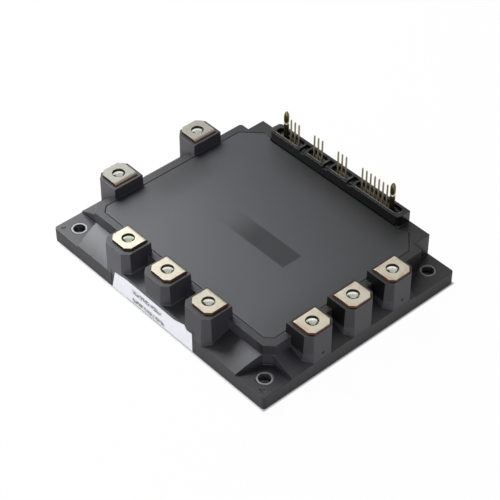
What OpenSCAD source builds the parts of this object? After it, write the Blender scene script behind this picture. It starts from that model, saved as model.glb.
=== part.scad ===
// Power module: moulded case on a metal base plate, eight screw terminals and a pin header
// Millimetres. Origin at the centre of the underside, X along the label side, Y towards the pins

/* [Case] */
// Length of the case along the label side
case_w = 138; // [137:0.5:142]
// Depth of the case from the label side to the pin side
case_d = 111; // [110.5:0.5:115]
// Radius of the upright corners of the case
case_corner_r = 1.5; // [0.5:0.25:2.5]
// Height of the mounting flange in the corners
flange_h = 7; // [6.5:0.25:7.25]
// Height of the ledge where it meets the rim
ledge_h = 12.3; // [11.5:0.1:12.8]
// Height of the sloping ledge at the outer wall
ledge_edge_h = 7.6; // [7.4:0.1:8]
// Radius of the slightly domed slope of the ledge
ledge_dome_r = 60; // [40:5:120]
// Depth of the ledge on the label side, wall to rim
front_ledge = 12.5; // [12:0.1:13]
// Depth of the ledge on the left and right sides
side_ledge = 10.5; // [10:0.1:10.9]
// Height of the rim, with the lid flush in it
rim_h = 18; // [17.6:0.1:19]
// Chamfer of the rim on the label side
rim_chamfer = 3.8; // [3:0.1:4.5]
// How far the rim steps in beside the rear mounting holes
notch_x = 5.1; // [4.5:0.1:5.5]
// Depth of that step from the rear wall
notch_y = 9.8; // [9:0.1:10]
// Distance from the front corner pocket to the label-side wall
pocket_y = 15.5; // [14.5:0.1:16.3]
// Distance from the front corner pocket to the side wall, at the rim
pocket_x = 14.8; // [14.5:0.1:16]
// How much the pocket's slanted wall leans inwards on its way to the label side
pocket_lean = 2.2; // [1:0.1:3]

/* [Lid] */
// Thickness of the lid
lid_t = 1.6; // [1.2:0.1:1.9]
// Width of the rim's top beside the lid on the left and right
lid_margin_side = 3.65; // [3.6:0.05:4]
// Width of the rim's top beside the lid on the label side
lid_margin_front = 3.25; // [3.2:0.05:3.6]
// Distance from the lid's rear corners to the rear wall
lid_margin_rear = 5.55; // [5.4:0.05:6]
// Chamfer of the lid's front corners
lid_chamfer_front = 3.1; // [2.5:0.1:3.6]
// Chamfer of the lid's rear corners
lid_chamfer_rear = 8.2; // [7.5:0.1:9]
// Gap round the lid
lid_gap = 0.25; // [0.15:0.05:0.35]

/* [Towers] */
// Width of a terminal tower along the wall
tower_w = 16.4; // [15.5:0.1:16.8]
// Depth of the towers on the label side
front_tower_d = 15; // [14.9:0.05:15.4]
// Depth of the towers on the left and right sides
side_tower_d = 14; // [13.9:0.05:14.1]
// Height of the towers
tower_h = 23.4; // [23:0.1:25]
// Chamfer of the towers' outer corners
tower_chamfer = 3.4; // [2.5:0.1:4]
// Mould draft of the towers in degrees
tower_draft = 1.2; // [0.5:0.1:1.5]
// Spacing of the three towers on the label side
front_pitch = 26; // [25.5:0.1:26.5]
// Spacing of the towers on the right, and half that of the two on the left
side_pitch = 23; // [22.5:0.1:23.4]

/* [Main terminals] */
// Thickness of the terminal strip
strip_t = 1.2; // [1:0.05:1.3]
// Width of a terminal plate
plate_w = 12.2; // [11.5:0.1:12.6]
// Length of a terminal plate on the label side
front_plate_l = 11.2; // [11:0.1:11.6]
// Length of a terminal plate on the left and right sides
side_plate_l = 11.6; // [11.2:0.1:12]
// Distance from the label-side wall to the bend of its terminals
front_bend = 14.2; // [14.1:0.05:14.3]
// Distance from the left and right walls to the bend of their terminals
side_bend = 12.2; // [12.1:0.05:12.4]
// Outer radius of the strip's bends
bend_r = 1.6; // [1.4:0.05:2]
// Chamfer of the plate's outer corners
plate_chamfer = 2.2; // [1.5:0.1:2.6]
// Diameter of the screw hole in the plate
plate_hole_d = 5.8; // [5.4:0.1:6]
// Distance from the bend to the screw hole
plate_hole_in = 5.6; // [5.55:0.05:5.7]
// Width of the strip inside the case
leg_w = 9; // [7:0.5:11]
// Length of the foot on the substrate
foot_l = 3.4; // [2.6:0.1:3.6]
// Width across the flats of a terminal nut
nut_af = 8; // [7.8:0.05:8]
// Height of a terminal nut
nut_h = 4; // [3.5:0.1:4.5]
// Diameter of the tapped hole in a nut
nut_bore_d = 4.2; // [3.6:0.1:4.6]
// Countersink at both ends of the tapped hole
nut_sink = 0.4; // [0.2:0.05:0.5]
// Diameter of the screw's free hole below a nut
shaft_d = 5.6; // [5.2:0.1:5.8]
// Depth of the free hole below a nut
shaft_depth = 6; // [4:0.5:6.5]

/* [Mounting] */
// Distance from the mounting holes to the side walls
mount_in_x = 8; // [7.5:0.1:8.5]
// Distance from the mounting holes to the front and rear walls
mount_in_y = 8; // [7.5:0.1:8.5]
// Diameter of a mounting hole
mount_hole_d = 5.5; // [4.5:0.1:5.8]
// Wall of a mounting sleeve
sleeve_wall = 0.9; // [0.7:0.05:1.1]

/* [Pin header] */
// Height of the header
header_h = 23.7; // [23.2:0.1:25]
// Thickness of the header from its front to the rear wall
header_d = 7; // [6.8:0.1:7]
// Distance from the pin row to the rear wall
pin_row = 3.6; // [3.5:0.05:3.7]
// How far the header reaches past each guide pin
header_end = 7.6; // [7:0.1:8]
// Length of the sloping left end of the header
header_slope = 5.7; // [5:0.1:6.5]
// Cut across the front corner of the sloping end
header_cut = 6.8; // [6:0.1:6.9]
// Rounding at the top of the sloping end
header_round = 5; // [3:0.5:5.5]
// Width of a trough round the pins
trough_w = 4.4; // [4:0.1:4.6]
// Depth of the troughs
trough_depth = 2.2; // [1.5:0.1:3]
// Distance from the last pin to the trough's end
trough_end = 2.75; // [2.5:0.05:2.9]
// Distance from a guide pin to the trough's end
guide_end = 5.2; // [4.5:0.1:5.6]
// Spacing of the control pins
pin_pitch = 2.54; // [2.5:0.01:2.58]
// Thickness of a control pin
pin_w = 0.64; // [0.5:0.02:0.8]
// Height of the control pins
pin_h = 34; // [31:0.5:36]
// Distance from the last control pin to the guide pin beside it
guide_gap = 3.22; // [3.1:0.02:3.4]
// Diameter of a guide pin
guide_d = 2.5; // [2:0.1:2.8]
// Height of the guide pins
guide_h = 36.7; // [35:0.1:38]
// Diameter of a guide pin's collar in the case
guide_collar_d = 3.2; // [3:0.1:3.6]

/* [Inside] */
// Thickness of the base plate
base_t = 3; // [2.5:0.1:3.4]
// Width of the case's skirt round the base plate
skirt = 2; // [1.5:0.1:2.5]
// Height of the skirt's lower edge above the underside
skirt_lift = 0.3; // [0.2:0.05:0.5]
// Thickness of a substrate with its copper faces
substrate_t = 1; // [0.8:0.05:1.2]
// Gap between two substrates
substrate_gap = 1; // [0.6:0.1:2]
// Thickness of a chip
chip_t = 0.35; // [0.25:0.05:0.5]
// Edge of a switch chip
igbt_w = 9; // [8:0.25:10]
// Width of a diode chip
diode_w = 7; // [6:0.25:8]
// Distance between the middles of a switch chip and its diode
chip_pitch = 12; // [11:0.5:13]
// Loop radius of a bond wire
wire_loop_r = 3.4; // [3:0.1:3.7]
// Diameter of a bond wire
wire_d = 0.4; // [0.3:0.05:0.5]
// Space between the terminal strips and the control board above them
strip_under_board = 2.2; // [1.6:0.1:2.3]
// Space between the gel and the control board
gel_under_board = 1; // [0.5:0.1:1.2]
// Space between the drive circuits and the lid
ic_under_lid = 1.3; // [1:0.1:1.4]
// Thickness of the control board
board_t = 1.6; // [1.2:0.1:1.8]
// Height of a drive circuit
ic_h = 1.5; // [1:0.1:1.7]

/* [Label] */
// Length of the label
label_w = 53; // [45:0.5:54]
// Height of the label above the skirt's lower edge
label_h = 10.4; // [9:0.1:11]
// Thickness of the label and depth of its recess
label_t = 0.2; // [0.1:0.05:0.3]

/* [Fits] */
// Clearance round the terminal strips and nuts
strip_fit = 0.2; // [0.1:0.05:0.25]
// Clearance behind the terminal strips
strip_back = 0.5; // [0.4:0.05:0.6]
// Gap between a nut and the plate above it
nut_gap = 0.2; // [0.1:0.05:0.3]
// Clearance round the pins and the sleeves
pin_fit = 0.1; // [0.05:0.01:0.15]
// Clearance round the base plate and the control board
board_fit = 0.3; // [0.2:0.05:0.4]
// Space kept between the gel and what stands in it
gel_fit = 0.3; // [0.2:0.05:0.4]

/* [Hidden] */

// Half sizes of the case, and the outline of the rim
half_w = case_w / 2;
half_d = case_d / 2;
rim_x = half_w - side_ledge;
rim_front = front_ledge - half_d;
// Outline of the lid, and the front of the header that the lid meets
lid_x = rim_x - lid_margin_side - lid_gap;
lid_front = rim_front + lid_margin_front + lid_gap;
lid_rear = half_d - lid_margin_rear - lid_gap;
lid_z = rim_h - lid_t;
header_front = half_d - header_d;
// Heights under the lid: control board, gel and the floor that carries the terminal strips
board_z = lid_z - ic_under_lid - ic_h - board_t;
board_top = board_z + board_t;
gel_top = board_z - gel_under_board;
shelf_z = board_z - strip_under_board - strip_t;
// Spacings of the mounting holes
mount_pitch_x = case_w - 2 * mount_in_x;
mount_pitch_y = case_d - 2 * mount_in_y;
// Cavities: the lower one holds the substrates, the upper one the control board
board_cavity_in = 2.3;
low_cavity_in = 4.1;
low_cavity_rear = half_d - 11;
board_cavity_rear = half_d - 9.5;
// Towers as side and place along the wall
FRONT = 0;
RIGHT = 1;
LEFT = 2;
TOWERS = [[FRONT, -front_pitch], [FRONT, 0], [FRONT, front_pitch], [LEFT, -side_pitch],
    [LEFT, side_pitch], [RIGHT, -side_pitch], [RIGHT, 0], [RIGHT, side_pitch]];
nut_floor = tower_h - nut_gap - nut_h;
foot_drop = 2;
// Places of the control pins along the row, counted in pitches
PIN_STEPS = [-12, -11, -10, -6, -5, -4, 0, 1, 2, 6, 7, 8, 9, 10, 11, 12];
// Troughs by their outermost pins; the first and the last also take a guide pin
GROUPS = [[-12, -10], [-6, -4], [0, 2], [6, 12]];
pin_y = half_d - pin_row;
pin_reach = 11;
guide_floor = 10;
guide_span = 2 * (PIN_STEPS[15] * pin_pitch + guide_gap);
header_left = -guide_span / 2 - header_end - header_slope;
header_right = guide_span / 2 + header_end;
// Substrates and the switch pairs on them, as substrate index and share of the substrate's length
SUBSTRATE_X = [-1, 0, 1];
PAIRS = [[0, 0.28], [0, 0.56], [1, 0.28], [1, 0.56], [2, 0.28], [2, 0.56], [2, 0.85]];
substrate_in = 1.5;
substrate_rear_in = 6.5;
substrate_front = lid_front - lid_gap + low_cavity_in + substrate_in;
substrate_l = low_cavity_rear - substrate_rear_in - substrate_front;
substrate_w = (2 * (lid_x + lid_gap - low_cavity_in - substrate_in) - 2 * substrate_gap) / 3;
// How far the feet of the side terminals reach over the outer substrates
foot_reach = foot_drop + strip_t + foot_l - substrate_in;
chip_z = base_t + substrate_t;
diode_l = 9;
wire_spacing = 1.6;
link_side_gap = 2;
link_rear_gap = 7.5;
ARC_FN = 240;

// Value for the label side or for the left and right sides
function by_side(side, front, flank) = side == FRONT ? front : flank;
function tower_depth(side) = by_side(side, front_tower_d, side_tower_d);
function bend_in(side) = by_side(side, front_bend, side_bend);
function plate_l(side) = by_side(side, front_plate_l, side_plate_l);
function cavity_in(side) = by_side(side, front_ledge + lid_margin_front + low_cavity_in,
    side_ledge + lid_margin_side + low_cavity_in);
function pin_x(i) = PIN_STEPS[i] * pin_pitch;
function group_start(g) = g == 0 ? -guide_span / 2 - guide_end : GROUPS[g][0] * pin_pitch - trough_end;
function group_end(g) = g == 3 ? guide_span / 2 + guide_end : GROUPS[g][1] * pin_pitch + trough_end;

// Puts children at a place on a wall, with local Y pointing into the case
module on_wall(side, along) {
    at = side == FRONT ? [along, -half_d] : [side == RIGHT ? half_w : -half_w, along];
    translate([at[0], at[1], 0]) rotate([0, 0, side == FRONT ? 0 : side == RIGHT ? 90 : -90]) children();
}

// Extrudes a profile drawn in local Y and Z along X, centred
module along_x(width) {
    rotate([90, 0, 90]) linear_extrude(width, center = true) children();
}

// Puts children at the four mounting holes
module at_mounts() {
    for (x = [-0.5, 0.5], y = [-0.5, 0.5])
        translate([x * mount_pitch_x, y * mount_pitch_y, 0]) children();
}

// Rectangle with round corners from one corner to the other
module rounded_area(x0, y0, x1, y1, r) {
    translate([x0 + r, y0]) square([x1 - x0 - 2 * r, y1 - y0]);
    translate([x0, y0 + r]) square([x1 - x0, y1 - y0 - 2 * r]);
    for (x = [x0 + r, x1 - r], y = [y0 + r, y1 - r]) translate([x, y]) circle(r = r, $fn = 48);
}

// Symmetric area with its front and rear corners cut off
module cut_corner_area(x, front, rear, front_cut, rear_cut) {
    polygon([[front_cut - x, front], [x - front_cut, front], [x, front + front_cut], [x, rear - rear_cut],
        [x - rear_cut, rear], [rear_cut - x, rear], [-x, rear - rear_cut], [-x, front + front_cut]]);
}

// Outline of the header grown by a gap, cut across its left front corner
module header_area(gap, right) {
    cut = header_cut - gap * (sqrt(2) - 1);
    polygon([[header_left - gap, half_d + 1], [header_left - gap, header_front + cut],
        [header_left + cut, header_front - gap], [right + gap, header_front - gap],
        [right + gap, half_d + 1]]);
}

// Outline of the lid grown by a gap, stepped back in front of the header
module lid_area(gap) {
    difference() {
        cut_corner_area(lid_x + gap, lid_front - gap, lid_rear + gap, lid_chamfer_front, lid_chamfer_rear);
        header_area(lid_gap - gap, header_right + 0.45);
    }
}

// Inside outline a stated distance within the lid's opening
module inner_area(inset, rear) {
    corner = inset * (2 - sqrt(2));
    cut_corner_area(lid_x + lid_gap - inset, lid_front - lid_gap + inset, rear,
        lid_chamfer_front - corner, lid_chamfer_rear - corner);
}

// Domed slope of a ledge, drawn outwards from the rim's wall
module ledge_profile(run) {
    drop = ledge_h - ledge_edge_h;
    half = norm([run, drop]) / 2;
    reach = sqrt(ledge_dome_r * ledge_dome_r - half * half) / (2 * half);
    intersection() {
        translate([-4, 3.5]) square([run + 4, 12]);
        translate([run / 2 - drop * reach, (ledge_h + ledge_edge_h) / 2 - run * reach])
            circle(r = ledge_dome_r, $fn = ARC_FN);
    }
}

// Ledges between the corner pockets and the towers
module ledges() {
    pocket_at = half_w - pocket_x;
    side_end = side_pitch + tower_w / 2;
    intersection() {
        translate([0, rim_front, 0]) mirror([0, 1, 0]) along_x(case_w) ledge_profile(front_ledge);
        linear_extrude(rim_h) polygon([[-pocket_at, rim_front + 4], [-pocket_at, rim_front],
            [pocket_lean - pocket_at, -half_d], [pocket_at - pocket_lean, -half_d], [pocket_at, rim_front],
            [pocket_at, rim_front + 4]]);
    }
    // Flat shelf between the outer towers of the label side
    translate([-front_pitch, -half_d, flange_h - 1])
        cube([2 * front_pitch, front_ledge + 1, ledge_h - flange_h + 1]);
    for (side = [0, 1]) mirror([side, 0, 0]) intersection() {
        translate([rim_x, 0, 0]) rotate([90, 0, 0]) linear_extrude(case_d, center = true)
            ledge_profile(side_ledge);
        translate([rim_x - 4, pocket_y - half_d, 0])
            cube([side_ledge + 4, side_end - pocket_y + half_d, rim_h]);
    }
}

// Raised rim round the lid, notched beside the rear mounting holes
module rim() {
    translate([0, 0, flange_h - 1]) linear_extrude(rim_h - flange_h + 1) difference() {
        cut_corner_area(rim_x, rim_front, half_d, rim_chamfer, 0.01);
        for (side = [-1, 1]) translate([side * rim_x, half_d])
            square([2 * notch_x, 2 * notch_y], center = true);
    }
}

// Terminal tower with drafted faces and chamfered outer corners
module tower(side) {
    depth = tower_depth(side);
    lean = (tower_h - flange_h) * tan(tower_draft);
    intersection() {
        along_x(tower_w) polygon([[0, skirt_lift], [depth, skirt_lift], [depth, flange_h],
            [depth - lean, tower_h], [lean, tower_h], [0, flange_h]]);
        rotate([90, 0, 0]) mirror([0, 0, 1]) linear_extrude(depth) polygon([[-tower_w / 2, skirt_lift],
            [tower_w / 2, skirt_lift], [tower_w / 2, flange_h], [tower_w / 2 - lean, tower_h],
            [lean - tower_w / 2, tower_h], [-tower_w / 2, flange_h]]);
        linear_extrude(tower_h) polygon([[-tower_w / 2, depth], [-tower_w / 2, tower_chamfer],
            [tower_chamfer - tower_w / 2, 0], [tower_w / 2 - tower_chamfer, 0],
            [tower_w / 2, tower_chamfer], [tower_w / 2, depth]]);
    }
}

// Openings of a tower: nut pocket, screw hole, and the way of the strip down and into the case
module tower_openings(side) {
    bend = bend_in(side);
    translate([0, bend - plate_hole_in, 0]) {
        translate([0, 0, nut_floor])
            cylinder(h = nut_h + 5, r = (nut_af / 2 + strip_fit) / cos(30), $fn = 6);
        translate([0, 0, nut_floor - shaft_depth])
            cylinder(h = shaft_depth + 1, d = shaft_d, $fn = 48);
    }
    slot_d = strip_t + strip_back + strip_fit;
    translate([-plate_w / 2 - strip_fit, bend + strip_fit - slot_d, shelf_z])
        cube([plate_w + 2 * strip_fit, slot_d, tower_h]);
    translate([-leg_w / 2 - strip_fit, bend - 0.1, shelf_z])
        cube([leg_w + 2 * strip_fit, cavity_in(side) - bend + 1, strip_t + strip_fit]);
}

// Header with its sloping left end and rounded right end
module header_block() {
    rise = header_h - rim_h;
    touch = header_round * tan(22.5);
    corner_r = 2.25;
    round_x = header_left + rise + touch;
    intersection() {
        translate([0, half_d, 0]) rotate([90, 0, 0]) linear_extrude(header_d) {
            polygon([[header_left, flange_h], [header_left, rim_h],
                [round_x - touch - touch * cos(45), header_h - touch * sin(45)], [round_x, header_h],
                [header_right, header_h], [header_right, flange_h]]);
            translate([round_x, header_h - header_round]) circle(r = header_round, $fn = 96);
        }
        translate([0, 0, flange_h]) linear_extrude(header_h) {
            header_area(0, header_right - corner_r);
            translate([0, header_front + corner_r]) square([header_right, header_d - corner_r]);
            translate([header_right - corner_r, header_front + corner_r]) circle(r = corner_r, $fn = 48);
        }
    }
}

// Troughs round the pins, a lower shoulder along the front, and lower bridges between the troughs
module header_openings() {
    shoulder = 0.5;
    bridge_drop = 1.5;
    wall = 0.9;
    for (g = [0:3])
        translate([0, 0, header_h - trough_depth]) linear_extrude(trough_depth + 1)
            rounded_area(group_start(g), pin_y - trough_w / 2, group_end(g), pin_y + trough_w / 2, 1.9);
    translate([-guide_span / 2 - header_end, header_front - 1, header_h - shoulder])
        cube([guide_span + 2 * header_end + 1, 1.6, shoulder + 1]);
    for (g = [0:2]) difference() {
        translate([group_end(g) + wall, header_front - 1, header_h - bridge_drop])
            cube([group_start(g + 1) - group_end(g) - 2 * wall, 1 + header_d - pin_row + trough_w / 2,
                bridge_drop + 1]);
        translate([(group_end(g) + group_start(g + 1)) / 2 - 0.5, header_front + 1, 0])
            cube([1.2, 1.4, header_h - 0.6]);
    }
}

// Ways of the control pins and seats of the guide pins in the case
module pin_openings() {
    wide = pin_w + 2 * pin_fit;
    for (i = [0:15]) translate([pin_x(i) - wide / 2, 0, board_top]) {
        translate([0, pin_y - wide / 2, 0]) cube([wide, wide, pin_h]);
        translate([0, board_cavity_rear - 1, 0])
            cube([wide, pin_y - board_cavity_rear + 1 + wide / 2, wide]);
    }
    for (side = [-0.5, 0.5]) translate([side * guide_span, pin_y, guide_floor])
        cylinder(h = header_h, d = guide_collar_d + 2 * pin_fit, $fn = 48);
}

// Small moulding marks on the flange corners and on the right-hand towers
module mould_marks() {
    for (side = [-1, 1]) translate([side * (half_w - 3.8), 3.1 - half_d, flange_h - 0.3])
        linear_extrude(1) polygon([[-side * 1.6, -0.9], [side * 1.6, -0.9], [side * 0.6, 1.1]]);
    for (along = [-side_pitch, side_pitch]) on_wall(RIGHT, along)
        translate([0.3, -1, 11]) rotate([-90, 0, 0]) cylinder(h = 1.4, d = 1.5, $fn = 24);
}

module case_frame() {
    color("#3b3c40") difference() {
        union() {
            translate([0, 0, skirt_lift]) linear_extrude(flange_h - skirt_lift)
                rounded_area(-half_w, -half_d, half_w, half_d, case_corner_r);
            ledges();
            rim();
            header_block();
            for (t = TOWERS) on_wall(t[0], t[1]) tower(t[0]);
        }
        // Recess for the base plate
        linear_extrude(base_t) rounded_area(skirt - half_w - board_fit, skirt - half_d - board_fit,
            half_w - skirt + board_fit, half_d - skirt + board_fit, case_corner_r);
        // Cavities for the substrates, the control board and the lid
        linear_extrude(rim_h) inner_area(low_cavity_in, low_cavity_rear);
        translate([0, 0, board_z]) linear_extrude(rim_h) inner_area(board_cavity_in, board_cavity_rear);
        translate([0, 0, lid_z]) linear_extrude(rim_h - lid_z + 0.001) lid_area(lid_gap);
        at_mounts() cylinder(h = rim_h, d = mount_hole_d + 2 * sleeve_wall + 2 * pin_fit, $fn = 64);
        for (t = TOWERS) on_wall(t[0], t[1]) tower_openings(t[0]);
        header_openings();
        pin_openings();
        mould_marks();
        // Recess of the label
        translate([-label_w / 2 - 2, -half_d - 1, -1])
            cube([label_w + 1, 1 + label_t, 1 + skirt_lift + label_h + 1.7]);
    }
}

module base_plate() {
    color("#b9783f") difference() {
        linear_extrude(base_t)
            rounded_area(skirt - half_w, skirt - half_d, half_w - skirt, half_d - skirt, case_corner_r);
        at_mounts() translate([0, 0, -1]) cylinder(h = base_t + 2, d = mount_hole_d, $fn = 64);
    }
}

module lid() {
    color("#4a4b50") translate([0, 0, lid_z]) linear_extrude(lid_t) lid_area(0);
}

// Label with an uneven upper edge, as it was stuck on
module label() {
    left = -label_w / 2 - 1.5;
    right = label_w / 2 - 1.5;
    color("#f2f2f5") translate([0, label_t - half_d, skirt_lift]) rotate([90, 0, 0])
        linear_extrude(label_t) polygon([[left, 0], [right, 0], [right, label_h - 0.1],
            [right - 3.1, label_h - 0.4], [right - 4.8, label_h + 1.6], [right - 11.5, label_h - 0.2],
            [left + 10.5, label_h + 0.4], [left + 2.4, label_h - 0.7]]);
}

module mount_sleeves() {
    color("#c9c9c9") at_mounts() translate([0, 0, base_t]) difference() {
        cylinder(h = flange_h - base_t + 0.1, d = mount_hole_d + 2 * sleeve_wall, $fn = 64);
        translate([0, 0, -1]) cylinder(h = flange_h, d = mount_hole_d, $fn = 64);
    }
}

// Terminal strip: screw plate, bend, leg down through the tower, run into the case, foot
module terminal_strip(side) {
    bend = bend_in(side);
    top = tower_h + strip_t;
    neck_z = tower_h - 7;
    drop_y = cavity_in(side) + foot_drop;
    length = plate_l(side);
    difference() {
        intersection() {
            along_x(plate_w) {
                translate([bend - length, tower_h]) square([length - bend_r, strip_t]);
                translate([bend - strip_t, neck_z]) square([strip_t, top - bend_r - neck_z]);
                translate([bend - bend_r, top - bend_r]) intersection() {
                    difference() {
                        circle(r = bend_r, $fn = 48);
                        circle(r = bend_r - strip_t, $fn = 48);
                    }
                    square(bend_r);
                }
            }
            linear_extrude(top) polygon([[-plate_w / 2, bend], [-plate_w / 2, bend - length + plate_chamfer],
                [plate_chamfer - plate_w / 2, bend - length], [plate_w / 2 - plate_chamfer, bend - length],
                [plate_w / 2, bend - length + plate_chamfer], [plate_w / 2, bend]]);
        }
        translate([0, bend - plate_hole_in, tower_h - 1]) cylinder(h = 4, d = plate_hole_d, $fn = 64);
    }
    along_x(leg_w) polygon([[bend - strip_t, neck_z + 1], [bend - strip_t, shelf_z], [drop_y, shelf_z],
        [drop_y, chip_z], [drop_y + strip_t + foot_l, chip_z], [drop_y + strip_t + foot_l, chip_z + strip_t],
        [drop_y + strip_t, chip_z + strip_t], [drop_y + strip_t, shelf_z + strip_t],
        [bend, shelf_z + strip_t], [bend, neck_z + 1]]);
}

module main_terminal(i) {
    color("#d9d3c2") on_wall(TOWERS[i][0], TOWERS[i][1]) terminal_strip(TOWERS[i][0]);
}

// Hexagon nuts with a countersink at both ends of the tapped hole
module terminal_nuts() {
    sink_r = nut_bore_d / 2 + nut_sink;
    color("#cfcfcf") for (t = TOWERS) on_wall(t[0], t[1])
        translate([0, bend_in(t[0]) - plate_hole_in, nut_floor]) difference() {
            cylinder(h = nut_h, r = nut_af / 2 / cos(30), $fn = 6);
            translate([0, 0, -1]) cylinder(h = nut_h + 2, d = nut_bore_d, $fn = 48);
            for (end = [0, 1]) translate([0, 0, end * nut_h]) mirror([0, 0, end])
                translate([0, 0, -nut_sink])
                    cylinder(h = 2 * nut_sink, r1 = sink_r + nut_sink, r2 = nut_bore_d / 2, $fn = 48);
        }
}

// Square pin: pointed above, bent forwards below and lying on the control board
module control_pin(i) {
    half = pin_w / 2;
    tip = 0.8;
    color("#b59a4c") translate([pin_x(i), pin_y, 0]) intersection() {
        along_x(pin_w) polygon([[half, board_top], [half, pin_h - tip], [half / 3, pin_h], [-half / 3, pin_h],
            [-half, pin_h - tip], [-half, board_top + pin_w], [-pin_reach, board_top + pin_w],
            [-pin_reach, board_top]]);
        rotate([90, 0, 0]) linear_extrude(4 * pin_reach, center = true) polygon([[-half, board_z],
            [half, board_z], [half, pin_h - tip], [half / 3, pin_h], [-half / 3, pin_h],
            [-half, pin_h - tip]]);
    }
}

// Round guide pin with a collar in the case, a groove and a bullet-shaped end
module guide_pin(side) {
    r = guide_d / 2;
    collar_r = guide_collar_d / 2;
    seat = header_h - trough_depth;
    nose = 3.2;
    groove_z = guide_h - 6;
    color("#8a7d3f") translate([side * guide_span / 2, pin_y, guide_floor]) rotate_extrude($fn = 48)
        translate([0, -guide_floor]) polygon(concat([[0, guide_floor], [collar_r, guide_floor],
            [collar_r, seat], [r, seat], [r, groove_z - 0.6], [r - 0.2, groove_z - 0.4],
            [r - 0.2, groove_z + 0.4], [r, groove_z + 0.6]],
            [for (a = [0:15:75]) [r * cos(a), guide_h - nose + nose * sin(a)]], [[0, guide_h]]));
}

// Middle of a substrate along X
function substrate_x(i) = SUBSTRATE_X[i] * (substrate_w + substrate_gap);

module substrate(i) {
    color("#d8cfc4") translate([substrate_x(i) - substrate_w / 2, substrate_front, base_t])
        cube([substrate_w, substrate_l, substrate_t]);
}

// Puts children between the two chips of a switch pair, beside the feet on its substrate
module at_pair(i) {
    at = PAIRS[i][0];
    along = substrate_front + PAIRS[i][1] * substrate_l;
    translate([substrate_x(at) - SUBSTRATE_X[at] * foot_reach / 2, along, chip_z]) children();
}

module igbt_chip(i) {
    color("#77808c") at_pair(i) translate([-chip_pitch / 2 - igbt_w / 2, -igbt_w / 2, 0])
        cube([igbt_w, igbt_w, chip_t]);
}

module diode_chip(i) {
    color("#8d8f96") at_pair(i) translate([chip_pitch / 2 - diode_w / 2, -diode_l / 2, 0])
        cube([diode_w, diode_l, chip_t]);
}

// Four wire loops from each switch chip to its diode
module bond_wires() {
    color("#dcdcdc") for (p = [0:6], w = [-1.5:1:1.5]) at_pair(p)
        translate([0, w * wire_spacing, chip_t]) rotate([90, 0, 0])
            rotate_extrude(angle = 180, $fn = 48) translate([wire_loop_r, 0]) circle(d = wire_d, $fn = 16);
}

// Two pins from each switch pair up to the control board
module at_links() {
    for (p = [0:6], side = [-1, 1]) at_pair(p) translate([side * link_side_gap, link_rear_gap, 0]) children();
}

module link_pins() {
    color("#b59a4c") at_links() translate([-pin_w / 2, -pin_w / 2, 0]) cube([pin_w, pin_w, board_z - chip_z]);
}

module control_board() {
    color("#2f6b3f") translate([0, 0, board_z]) linear_extrude(board_t)
        inner_area(board_cavity_in + board_fit, board_cavity_rear - board_fit);
}

// Drive circuits on the board, one over each upper switch and one for the lower ones
module drive_ic(i) {
    along = i < 3 ? 0.64 : 0.25;
    at = [i < 3 ? substrate_x(i) : 0, substrate_front + along * substrate_l];
    color("#222222") translate([at[0] - 5, at[1] - 3.5, board_top]) cube([10, 7, ic_h]);
}

// Gel over the substrates, kept clear of everything that stands in it
module gel() {
    block_h = gel_top - chip_z;
    wire_top = chip_t + wire_loop_r + wire_d / 2 + gel_fit;
    pocket_x = chip_pitch + max(igbt_w, diode_w) + 2 * gel_fit;
    pocket_y = igbt_w + 2 * gel_fit;
    notch_w = leg_w + 2 * gel_fit;
    color("#dfe6e8") difference() {
        translate([0, 0, chip_z]) linear_extrude(block_h)
            inner_area(low_cavity_in + gel_fit, low_cavity_rear - gel_fit);
        for (p = [0:6]) at_pair(p) translate([-pocket_x / 2, -pocket_y / 2, -1])
            cube([pocket_x, pocket_y, wire_top + 1]);
        for (t = TOWERS) on_wall(t[0], t[1]) translate([-notch_w / 2, cavity_in(t[0]) - 1, 0])
            cube([notch_w, 1 + foot_drop + strip_t + foot_l + gel_fit, rim_h]);
        at_links() translate([-pin_w / 2 - gel_fit, -pin_w / 2 - gel_fit, -1])
            cube([pin_w + 2 * gel_fit, pin_w + 2 * gel_fit, rim_h]);
    }
}

base_plate();
case_frame();
lid();
label();
mount_sleeves();
main_terminal(0);  // terminal_u
main_terminal(1);  // terminal_v
main_terminal(2);  // terminal_w
main_terminal(3);  // terminal_p1
main_terminal(4);  // terminal_n1
main_terminal(5);  // terminal_p2
main_terminal(6);  // terminal_b
main_terminal(7);  // terminal_n2
terminal_nuts();
guide_pin(-1);  // guide_pin_left
guide_pin(1);  // guide_pin_right
control_pin(0);  // control_pin_01
control_pin(1);  // control_pin_02
control_pin(2);  // control_pin_03
control_pin(3);  // control_pin_04
control_pin(4);  // control_pin_05
control_pin(5);  // control_pin_06
control_pin(6);  // control_pin_07
control_pin(7);  // control_pin_08
control_pin(8);  // control_pin_09
control_pin(9);  // control_pin_10
control_pin(10);  // control_pin_11
control_pin(11);  // control_pin_12
control_pin(12);  // control_pin_13
control_pin(13);  // control_pin_14
control_pin(14);  // control_pin_15
control_pin(15);  // control_pin_16
substrate(0);  // substrate_1
substrate(1);  // substrate_2
substrate(2);  // substrate_3
igbt_chip(0);  // igbt_chip_1
igbt_chip(1);  // igbt_chip_2
igbt_chip(2);  // igbt_chip_3
igbt_chip(3);  // igbt_chip_4
igbt_chip(4);  // igbt_chip_5
igbt_chip(5);  // igbt_chip_6
igbt_chip(6);  // igbt_chip_7
diode_chip(0);  // diode_chip_1
diode_chip(1);  // diode_chip_2
diode_chip(2);  // diode_chip_3
diode_chip(3);  // diode_chip_4
diode_chip(4);  // diode_chip_5
diode_chip(5);  // diode_chip_6
diode_chip(6);  // diode_chip_7
bond_wires();
link_pins();
control_board();
drive_ic(0);  // drive_ic_1
drive_ic(1);  // drive_ic_2
drive_ic(2);  // drive_ic_3
drive_ic(3);  // drive_ic_4
gel();
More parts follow.
